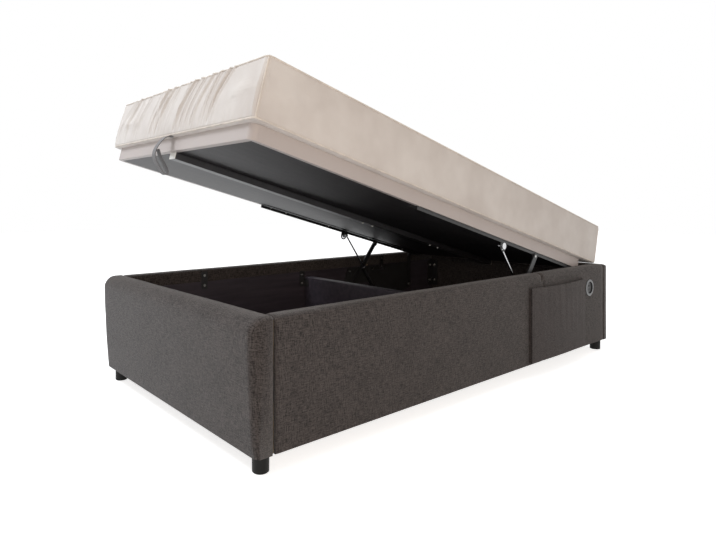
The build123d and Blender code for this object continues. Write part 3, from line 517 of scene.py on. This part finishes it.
near_cloth = bpy.data.objects["side_rail_cloth_right_head"]
bored(near_cloth, (HALF_WIDTH, PORT_Y, PORT_Z), PORT_HOLE, DRILL_LENGTH)
print("port hole cut", len(near_cloth.data.polygons), "faces")

# %% [markdown]
# The footboard's padding swells towards the top, so its section has a curved outer line. The head
# panel is flat, and both wrap round the ends of the side rails.

# %% Footboard and head panel cloth
FOOT_OUTER = -996
FOOT_BULGE = 17
FOOT_SWELL = ((-1011.5, 307), (-1008, 227), (-1004.5, 157))
HEAD_OUTER = 996
HEAD_TOP = RAIL_TOP - 3


def at_left_end(a, b):
    """Place of a section's corner, in metres, where a cover across the bed starts."""
    return Vector((-HALF_WIDTH * MM, a * MM, b * MM))


def side_view(spot):
    """A section point as seen along X."""
    return Vector((spot.y, spot.z))


foot_corners = [(FOOT_SEAM, RAIL_FOOT), (FOOT_SEAM, RAIL_TOP), (FOOT_OUTER - FOOT_BULGE, RAIL_TOP),
                *FOOT_SWELL, (FOOT_OUTER, RAIL_FOOT)]
foot_cloth = padded_cover("footboard_cloth", foot_corners, {1: 12, 2: 42, 0: 1, 6: 2}, 0, -HALF_WIDTH,
                          HALF_WIDTH, at_left_end, side_view, (10, 10), gentle_ripple(7, 1.2))
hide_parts("footboard_cover")
head_corners = [(HEAD_OUTER, RAIL_FOOT), (HEAD_OUTER, HEAD_TOP), (HEAD_SEAM, HEAD_TOP), (HEAD_SEAM, RAIL_FOOT)]
head_cloth = padded_cover("head_panel_cloth", head_corners, {1: 14, 2: 8, 0: 2}, 0, -HALF_WIDTH,
                          HALF_WIDTH, at_left_end, side_view, (5, 5), gentle_ripple(11))
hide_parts("head_panel_cover")

# %% [markdown]
# The mattress sits on the raised platform, so it is made level in the platform's own frame and
# then turned with it. The matrix repeats where the platform stands in the photograph.

# %% Where the raised platform is
LIFT = math.radians(14.65)
PLATFORM_LENGTH = 1880
PLATFORM_HEAD = (0, 839.2, 384.5)
raised_head = Vector(PLATFORM_HEAD) * MM
raised_foot = raised_head + Vector((0, -math.cos(LIFT), math.sin(LIFT))) * PLATFORM_LENGTH * MM
raised = Matrix.Translation(raised_foot) @ Matrix.Rotation(-LIFT, 4, "X")
print("platform foot edge at", [round(v, 4) for v in raised_foot])

# %% [markdown]
# The mattress is a firm block in a stretch cover. A rounded box is remeshed into even squares and
# blown up a little as cloth, which gives it a crown and lets its sides swell between the corners.
# The gathers on its foot face come after that, because they are finer than the mesh that the
# simulation needs.

# %% Mattress cover
SWELL_FRAMES = 20


def cream_knit():
    """Fine off-white knit that is a little warmer in patches."""
    made = Finish("mattress_cloth", roughness=0.85, sheen_weight=0.15, sheen_roughness=0.4)
    place = made.coordinates()
    cloud = made.noise(place, 7, 3)
    rib = made.noise(place, 900, 2, 0.6)
    shade = made.spread(cloud, 0.35, 0.65)
    made.feed("Base Color", made.between(shade, (0.58, 0.53, 0.495), (0.66, 0.615, 0.58)))
    made.bump(rib, 0.12 * MM, 0.5)
    return made.material


finishes["mattress_cloth"] = cream_knit()
finishes["piping_cloth"] = plain_finish("piping_cloth", (0.66, 0.60, 0.54), 0.8, grain=300,
                                        relief=0.1 * MM)
MATTRESS_WIDTH = 1000
MATTRESS_LENGTH = 2000
MATTRESS_HEIGHT = 185
MATTRESS_FOOT = -20
RIM_HEIGHT = 46
MATTRESS_MIDDLE = MATTRESS_FOOT + MATTRESS_LENGTH / 2


def swell(thing, pressure, cap):
    """Blow an object up as cloth, no point moving further than the cap in mm."""
    cloth = thing.modifiers.new("swell", "CLOTH")
    cloth.settings.use_pressure = True
    cloth.settings.uniform_pressure_force = pressure
    cloth.settings.tension_stiffness = 40
    cloth.settings.bending_stiffness = 8
    cloth.settings.effector_weights.gravity = 0
    cloth.point_cache.frame_start = 1
    cloth.point_cache.frame_end = SWELL_FRAMES
    for number in range(1, SWELL_FRAMES + 1):
        bpy.context.scene.frame_set(number)
    swollen = thing.evaluated_get(bpy.context.evaluated_depsgraph_get()).to_mesh()
    moves = [new.co - old.co for new, old in zip(swollen.vertices, thing.data.vertices)]
    thing.modifiers.remove(cloth)
    for vertex, move in zip(thing.data.vertices, moves):
        vertex.co += move * min(1, cap * MM / max(move.length, 1e-9))
    bpy.context.scene.frame_set(1)


def mattress_block(name, inset, corner, edge, voxel):
    """The mattress as a level block, its upright corners rounder than its other edges."""
    bm = bmesh.new()
    bmesh.ops.create_cube(bm, size=1)
    size = (MATTRESS_WIDTH - 2 * inset, MATTRESS_LENGTH - 2 * inset, MATTRESS_HEIGHT - inset)
    bmesh.ops.scale(bm, vec=[v * MM for v in size], verts=bm.verts)
    upright = [e for e in bm.edges if abs(e.verts[0].co.z - e.verts[1].co.z) > 0.01]
    bmesh.ops.bevel(bm, geom=upright, offset=corner * MM, offset_type="OFFSET", segments=5,
                    profile=0.5, affect="EDGES", material=-1)
    level = [e for e in bm.edges if len(e.link_faces) == 2 and e.calc_face_angle() > 1]
    bmesh.ops.bevel(bm, geom=level, offset=edge * MM, offset_type="OFFSET", segments=3,
                    profile=0.5, affect="EDGES", material=-1)
    centre = (0, MATTRESS_MIDDLE * MM, (RIM_HEIGHT + (MATTRESS_HEIGHT - inset) / 2) * MM)
    bmesh.ops.translate(bm, vec=centre, verts=bm.verts)
    thing = add_object(name, bm, finishes["mattress_cloth"])
    thing.data.remesh_voxel_size = voxel * MM
    bpy.context.view_layer.objects.active = thing
    thing.select_set(True)
    bpy.ops.object.voxel_remesh()
    thing.select_set(False)
    return thing


mattress = mattress_block("mattress_block", inset=3, corner=14, edge=8, voxel=10)
swell(mattress, pressure=3.0, cap=5)
print("mattress", len(mattress.data.vertices), "points")

# %% [markdown]
# Every gather starts at the top seam, runs down and sideways and dies out above the hem. It is a
# sharp valley with a soft ridge on its far side. The strong ones stand where the photograph shows
# them and small ones fill the gaps.

# %% Gathers
STRONG_GATHERS = (-328, -93, -49, 95, 133, 209, 297)
SMALL_GATHERS = 17
GATHER_SHIFT = 66
STRONG_DEPTH = 14
STRONG_WIDTH = 5
FACE_BAND = 30
FOOT_BLEND = 26
SIDE_BLEND = 25
FOOT_FACE_BULGE = 9


def gather_lines(seed):
    """Top place, sideways shift, depth and width of each gather, in mm."""
    rolls = random.Random(seed)
    lines = []
    for x in STRONG_GATHERS:
        lines.append((x, GATHER_SHIFT * rolls.uniform(0.85, 1.15), STRONG_DEPTH, STRONG_WIDTH))
    for number in range(SMALL_GATHERS):
        x = -400 + 740 * (number + rolls.random()) / SMALL_GATHERS
        shift = GATHER_SHIFT * rolls.uniform(0.5, 1.2)
        depth = rolls.uniform(3, 8)
        lines.append((x, shift, depth, rolls.uniform(3, 5.5)))
    return lines


def gathered(x, height, lines):
    """How far the foot face stands out at a place, in mm: x in mm and height as a share."""
    out = 0.0
    fade = min(1, max(0, height - 0.06) * 2.2) ** 0.8
    for top, shift, depth, width in lines:
        gap = (x - top + shift * (1 - height ** 2)) / width
        if -3 < gap < 6:
            out += depth * fade * (0.55 * math.exp(-((gap - 2.2) / 1.5) ** 2) - math.exp(-gap * gap))
    return out


def shape_mattress(thing):
    """Gathered and bulging foot face, faintly creased sides and a flat base."""
    bm = bmesh.new()
    bm.from_mesh(thing.data)
    foot_line = (MATTRESS_FOOT + FACE_BAND) * MM
    foot_edges = [e for e in bm.edges if all(v.co.y < foot_line for v in e.verts)]
    bmesh.ops.subdivide_edges(bm, edges=foot_edges, cuts=3, use_grid_fill=True)
    lines = gather_lines(5)
    base = RIM_HEIGHT * MM
    for vert in bm.verts:
        height = (vert.co.z - base) / (MATTRESS_HEIGHT * MM)
        upright = math.sin(math.pi * min(1, max(0, height)))
        on_foot = max(0.0, min(1.0, (foot_line - vert.co.y) / (FOOT_BLEND * MM)))
        past_band = abs(vert.co.x) / MM - MATTRESS_WIDTH / 2 + FACE_BAND
        on_side = max(0.0, min(1.0, past_band / SIDE_BLEND))
        if on_foot > 0:
            x = vert.co.x / MM
            pucker = math.sin(x / 5.5 + 3 * soft_noise(vert.co, 0.06, 2)) * max(0, 1 - height * 4) * 0.9
            bulge = FOOT_FACE_BULGE * math.sin(math.pi * min(1, max(0, height)) ** 0.6)
            vert.co.y -= (gathered(x, min(1, height), lines) + pucker + bulge) * MM * on_foot
        if on_side > 0:
            crease = soft_noise(Vector((0, vert.co.y, vert.co.z * 0.25)), 0.045, 6) * 1.6
            crease += soft_noise(Vector((0, vert.co.y + vert.co.z * 0.4, vert.co.z * 0.2)), 0.016, 3) * 0.8
            vert.co.x += math.copysign(crease * upright * on_side * MM, vert.co.x)
        vert.co.z = max(base, vert.co.z)
    bm.to_mesh(thing.data)
    bm.free()
    for polygon in thing.data.polygons:
        polygon.use_smooth = True


shape_mattress(mattress)
print("gathered mattress", len(mattress.data.polygons), "faces")

# %% [markdown]
# Piping covers the seams: round the top, round the bottom and down each corner. Its line is found
# by looking inwards from outside the mattress until the cover is met, so it follows every swell.

# %% Piping
PIPING_RADIUS = 2.6
PIPING_PROUD = 0.35
LOOK_FROM = 60
SEAM_STEP = 12
CORNER_STEP = 8


def round_plan(step):
    """Places round the mattress just outside it, each with the way inwards, in mm."""
    x, y0 = MATTRESS_WIDTH / 2, MATTRESS_FOOT
    y1 = y0 + MATTRESS_LENGTH
    corners = [(-x, y0), (x, y0), (x, y1), (-x, y1), (-x, y0)]
    inwards = [(0, 1), (-1, 0), (0, -1), (1, 0)]
    spots = []
    for (ax, ay), (bx, by), way in zip(corners[:-1], corners[1:], inwards):
        count = int(math.hypot(bx - ax, by - ay) / step)
        for number in range(1, count):
            share = number / count
            place = Vector((ax + (bx - ax) * share, ay + (by - ay) * share, 0))
            spots.append((place, Vector((*way, 0))))
        inward = Vector((-math.copysign(1, bx), MATTRESS_MIDDLE - by, 0))
        spots.append((Vector((bx, by, 0)), inward))
    return spots


def seam_line(tree, height, step):
    """Where the cover is met all round at one height."""
    found = []
    for spot, way in round_plan(step):
        way = Vector((way.x, math.copysign(min(1, abs(way.y)), way.y), 0)).normalized()
        start = (spot - way * LOOK_FROM + Vector((0, 0, height))) * MM
        hit = tree.ray_cast(start, way)[0]
        if hit is not None:
            found.append(hit - way * PIPING_RADIUS * PIPING_PROUD * MM)
    return found


def corner_line(tree, sign_x, sign_y, low, high, step):
    """Where the cover is met down one corner."""
    found = []
    way = Vector((-sign_x, -sign_y, 0)).normalized()
    corner = Vector((sign_x * MATTRESS_WIDTH / 2, MATTRESS_MIDDLE + sign_y * MATTRESS_LENGTH / 2, 0))
    for number in range(int((high - low) / step) + 1):
        start = (corner - way * LOOK_FROM + Vector((0, 0, low + number * step))) * MM
        hit = tree.ray_cast(start, way)[0]
        if hit is not None:
            found.append(hit - way * PIPING_RADIUS * PIPING_PROUD * MM)
    return found


def piping(name, lines):
    """Round cord along lines, the first two of them closed."""
    data = bpy.data.curves.new(name, "CURVE")
    data.dimensions = "3D"
    data.bevel_depth = PIPING_RADIUS * MM
    data.bevel_resolution = 2
    for number, line in enumerate(lines):
        spline = data.splines.new("POLY")
        spline.points.add(len(line) - 1)
        for target, spot in zip(spline.points, line):
            target.co = (*spot, 1)
        spline.use_cyclic_u = number < 2
    data.use_fill_caps = True
    holder = bpy.data.objects.new(name, data)
    bpy.context.scene.collection.objects.link(holder)
    mesh = bpy.data.meshes.new_from_object(holder.evaluated_get(bpy.context.evaluated_depsgraph_get()))
    bpy.data.objects.remove(holder)
    mesh.transform(raised)
    thing = bpy.data.objects.new(name, mesh)
    bpy.context.scene.collection.objects.link(thing)
    paint(thing, finishes["piping_cloth"])
    for polygon in mesh.polygons:
        polygon.use_smooth = True
    return thing


low_seam = RIM_HEIGHT + 5
high_seam = RIM_HEIGHT + MATTRESS_HEIGHT - 9
skin = BVHTree.FromPolygons([v.co.copy() for v in mattress.data.vertices],
                            [tuple(p.vertices) for p in mattress.data.polygons])
seams = [seam_line(skin, low_seam, SEAM_STEP), seam_line(skin, high_seam, SEAM_STEP)]
for x in (-1, 1):
    seams += [corner_line(skin, x, y, low_seam, high_seam, CORNER_STEP) for y in (-1, 1)]
mattress_piping = piping("mattress_piping", seams)
mattress.data.transform(raised)
print("piping", len(mattress_piping.data.polygons), "faces")

for thing in (mattress, mattress_piping):
    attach(thing, "platform")
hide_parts("mattress")

# %% [markdown]
# The pull strap is flat webbing. It follows one smooth line: out of the seam above the foot rim,
# down, and back up into a narrow loop that is sewn to itself. It rides on the platform, and no joint
# folds it.

# %% Pull strap
def webbing(name, colour):
    """Grey webbing with ribs across it and a fine herringbone."""
    made = Finish(name, roughness=0.7, sheen_weight=0.2)
    u, v, _ = made.parts(made.coordinates("UV"))
    ribs = (u * (2 * math.pi / (2.2 * MM))).sine() * 0.5 + 0.5
    slant = ((u + abs(v)) * (2 * math.pi / (3.0 * MM))).sine() * 0.5 + 0.5
    pattern = ribs * 0.5 + slant * 0.5
    made.feed("Base Color", made.between(pattern, tuple(c * 0.72 for c in colour), colour))
    made.bump(pattern, 0.3 * MM)
    return made.material


finishes["grey_webbing"] = webbing("grey_webbing", (0.15, 0.145, 0.15))


def smooth_line(points, order=3, steps=12):
    """Points along a smooth curve that is pulled towards the given ones."""
    data = bpy.data.curves.new("guide", "CURVE")
    data.dimensions = "3D"
    spline = data.splines.new("NURBS")
    spline.points.add(len(points) - 1)
    for target, spot in zip(spline.points, points):
        target.co = (*spot, 1)
    spline.order_u = order
    spline.use_endpoint_u = True
    spline.resolution_u = steps
    holder = bpy.data.objects.new("guide", data)
    bpy.context.scene.collection.objects.link(holder)
    mesh = bpy.data.meshes.new_from_object(holder.evaluated_get(bpy.context.evaluated_depsgraph_get()))
    found = [v.co.copy() for v in mesh.vertices]
    bpy.data.objects.remove(holder)
    bpy.data.curves.remove(data)
    return found


def strap_along(name, points, width, thick, material):
    """Flat webbing that follows a line in a plane across the bed."""
    bm = bmesh.new()
    layer = bm.loops.layers.uv.new("weave")
    half, deep = width / 2, thick / 2
    corners = [(-half, -deep), (half, -deep), (half, deep), (-half, deep)]
    across = Vector((1, 0, 0))
    last = None
    for number, spot in enumerate(points):
        ahead = points[min(number + 1, len(points) - 1)] - points[max(number - 1, 0)]
        normal = ahead.cross(across).normalized()
        spots = [spot + across * a * MM + normal * b * MM for a, b in corners]
        if last is None:
            face = bm.faces.new([bm.verts.new(s) for s in spots])
        else:
            grown = bmesh.ops.extrude_face_region(bm, geom=[face])
            face = next(f for f in grown["geom"] if isinstance(f, bmesh.types.BMFace))
            mates = [min(face.verts, key=lambda v: (v.co - old).length) for old in last]
            for mate, target in zip(mates, spots):
                mate.co = target
        last = spots
    bmesh.ops.recalc_face_normals(bm, faces=bm.faces)
    travelled = [0.0]
    for a, b in zip(points[:-1], points[1:]):
        travelled.append(travelled[-1] + (b - a).length)
    for face in bm.faces:
        for loop in face.loops:
            middle = Vector((0, loop.vert.co.y, loop.vert.co.z))
            nearest = min(range(len(points)), key=lambda i: (middle - points[i]).length)
            loop[layer].uv = (travelled[nearest], loop.vert.co.x)
    return add_object(name, bm, material, smooth=False)


def on_platform(u, n):
    """A point of the platform's middle line, from u along it and n above its underside, in mm."""
    return raised @ (Vector((0, u, n)) * MM)


STRAP_WIDTH = 24
STRAP_THICKNESS = 2.2
STRAP_ROUTE = ((2, 47.2), (-6, 48), (-14, 46.5), (-24, 42), (-35, 30), (-45.5, 8),
               (-52.3, -19), (-45, -40), (-28.3, -59), (-8.7, -74.6), (2.7, -79), (7.7, -72.4),
               (3.5, -60), (-10.5, -44), (-27, -28.7), (-38, -12), (-41.5, -6))
strap_line = smooth_line([on_platform(u, n) for u, n in STRAP_ROUTE])
strap = strap_along("pull_strap_webbing", strap_line, STRAP_WIDTH, STRAP_THICKNESS, finishes["grey_webbing"])
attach(strap, "platform")
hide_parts("pull_strap")
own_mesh(strap)
print("strap", len(strap.data.polygons), "faces")

# %% [markdown]
# The side pocket is a flat bag of thin cloth with a narrow folded gusset at each end, so that it
# can open a little. It is one sheet: an outline seen from above, pulled up row by row, then
# loosened with upright creases and a sagging top edge.

# %% Side pocket
POCKET_FOOT = 294
POCKET_HEAD = 744
POCKET_LOW = 61
POCKET_TOP = 356
POCKET_DEPTH = 15
POCKET_BOW = 6
POCKET_COLUMNS = 96
POCKET_ROWS = 60
POCKET_SAG = 4.6
END_SEAM = 9
LOW_SEAM = 16
HEM_SEAM = 40
CLOTH_THICKNESS = 2.0


def pocket_outline():
    """Plan of the pocket's cloth from the rail at its foot end round to the rail at its head end."""
    spots = [(HALF_WIDTH, POCKET_FOOT + 1), (HALF_WIDTH + 4, POCKET_FOOT + 3.5),
             (HALF_WIDTH + 8, POCKET_FOOT + 4.5), (HALF_WIDTH + 12, POCKET_FOOT + 2.5)]
    for number in range(POCKET_COLUMNS + 1):
        share = number / POCKET_COLUMNS
        y = POCKET_FOOT + (POCKET_HEAD - POCKET_FOOT) * share
        spots.append((HALF_WIDTH + POCKET_DEPTH + POCKET_BOW * math.sin(math.pi * share) - 0.8, y))
    spots += [(HALF_WIDTH + 12, POCKET_HEAD - 2.5), (HALF_WIDTH + 8, POCKET_HEAD - 4.5),
              (HALF_WIDTH + 4, POCKET_HEAD - 3.5), (HALF_WIDTH, POCKET_HEAD - 1)]
    return spots


def pocket_sheet():
    """The pocket's cloth before it gets its thickness."""
    bm = bmesh.new()
    layer = bm.loops.layers.uv.new("weave")
    row = [bm.verts.new((x * MM, y * MM, POCKET_LOW * MM)) for x, y in pocket_outline()]
    edges = [bm.edges.new(pair) for pair in zip(row[:-1], row[1:])]
    floor_row = bmesh.ops.extrude_edge_only(bm, edges=edges)
    rim = [v for v in floor_row["geom"] if isinstance(v, bmesh.types.BMVert)]
    for vert in rim:
        vert.co.x = HALF_WIDTH * MM
    for number in range(POCKET_ROWS):
        grown = bmesh.ops.extrude_edge_only(bm, edges=edges)
        edges = [e for e in grown["geom"] if isinstance(e, bmesh.types.BMEdge)]
        verts = [v for v in grown["geom"] if isinstance(v, bmesh.types.BMVert)]
        bmesh.ops.translate(bm, vec=(0, 0, (POCKET_TOP - POCKET_LOW) / POCKET_ROWS * MM), verts=verts)
    for vert in bm.verts:
        x, y, z = vert.co / MM
        share = (y - POCKET_FOOT) / (POCKET_HEAD - POCKET_FOOT)
        height = (z - POCKET_LOW) / (POCKET_TOP - POCKET_LOW)
        middle = max(0.0, math.sin(math.pi * max(0, min(1, share))))
        z -= POCKET_SAG * middle * height ** 3
        if x > HALF_WIDTH + 13:
            crease = soft_noise(Vector((0, y * MM, z * 0.12 * MM)), 0.035, 4) * 0.7
            crease += soft_noise(Vector((0, y * MM + z * 0.05 * MM, z * 0.1 * MM)), 0.014, 8) * 0.35
            x += crease * 1.6 * (0.35 + 0.65 * height) * min(1, middle * 4)
            x -= (1.2 * math.exp(-((y - POCKET_FOOT - END_SEAM) / 3.0) ** 2)
                  + 1.2 * math.exp(-((y - POCKET_HEAD + END_SEAM) / 3.0) ** 2))
            x -= (0.8 * math.exp(-((z - POCKET_LOW - LOW_SEAM) / 2.5) ** 2)
                  + 0.8 * math.exp(-((z - POCKET_LOW - HEM_SEAM) / 2.5) ** 2))
        vert.co = Vector((x, y, z)) * MM
    for face in bm.faces:
        for loop in face.loops:
            spot = loop.vert.co
            loop[layer].uv = (spot.y + (spot.x - HALF_WIDTH * MM), spot.z)
    bmesh.ops.recalc_face_normals(bm, faces=bm.faces)
    return bm


side_pocket = add_object("side_pocket_cloth", pocket_sheet(), pocket_linen)
thick = side_pocket.modifiers.new("thickness", "SOLIDIFY")
thick.thickness = CLOTH_THICKNESS * MM
thick.offset = -1
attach(side_pocket, "base")
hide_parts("side_pocket")
pocket_plan = pocket_outline()

# %% [markdown]
# The studio is a white floor and a white room. A Light Path node makes both white for the camera
# and for what shiny pieces mirror, so neither adds more light to the cloth. For other rays the
# room shines at half strength, and a cool lamp over the foot end, a warm one on the near side and
# a weak one on top give the rest.

# %% Studio
FLOOR_REACH = 12
FLOOR_DROP = 0.0005
FLOOR_GLOW = 0.74
ROOM_LIGHT = 0.5
bm = bmesh.new()
bmesh.ops.create_grid(bm, x_segments=1, y_segments=1, size=FLOOR_REACH)
bmesh.ops.translate(bm, vec=(0, 0, -FLOOR_DROP), verts=bm.verts)
floor_finish = Finish("studio_floor", base_color=(0.80, 0.80, 0.80), roughness=0.9)


def seen_directly(tree):
    """1 for rays from the camera, off a shiny piece or through a clear one, and 0 for others."""
    paths = tree.nodes.new("ShaderNodeLightPath")
    kinds = ("Camera", "Glossy", "Transmission")
    first, second, third = (Value(tree, paths.outputs[f"Is {kind} Ray"]) for kind in kinds)
    return (first + second + third) > 0.5


seen = seen_directly(floor_finish.tree)
floor_finish.feed("Emission Color", floor_finish.between(seen, (0, 0, 0), (1, 1, 1)))
floor_finish.feed("Emission Strength", FLOOR_GLOW)
floor = add_object("studio_floor", bm, floor_finish.material, smooth=False)

world = bpy.data.worlds.new("studio_world")
bpy.context.scene.world = world
world.use_nodes = True
sky = world.node_tree
background = next(n for n in sky.nodes if n.type == "BACKGROUND")
seen = seen_directly(sky)
background.inputs["Color"].default_value = (1, 1, 1, 1)
plug(sky, background.inputs["Strength"], seen * (1 - ROOM_LIGHT) + ROOM_LIGHT)


def lamp(name, place, target, size, watts, colour=(1, 1, 1)):
    """A soft rectangular lamp that faces a point."""
    data = bpy.data.lights.new(name, "AREA")
    data.shape = "RECTANGLE"
    data.size, data.size_y = size
    data.energy = watts
    data.color = colour
    thing = bpy.data.objects.new(name, data)
    thing.location = place
    thing.rotation_euler = (Vector(target) - Vector(place)).to_track_quat("-Z", "Y").to_euler()
    bpy.context.scene.collection.objects.link(thing)
    return thing


lamp("foot_lamp", (-1.3, -2.4, 3.7), (0, -0.9, 0.6), (1.6, 1.4), 105, (0.88, 0.94, 1.0))
lamp("near_lamp", (3.3, -2.0, 1.25), (0.0, -0.2, 0.45), (2.2, 1.0), 34, (1.0, 0.80, 0.62))
lamp("top_lamp", (0.2, 0.3, 3.6), (0, 0, 0.5), (2.4, 2.4), 22)
bpy.context.scene.view_settings.view_transform = "Standard"
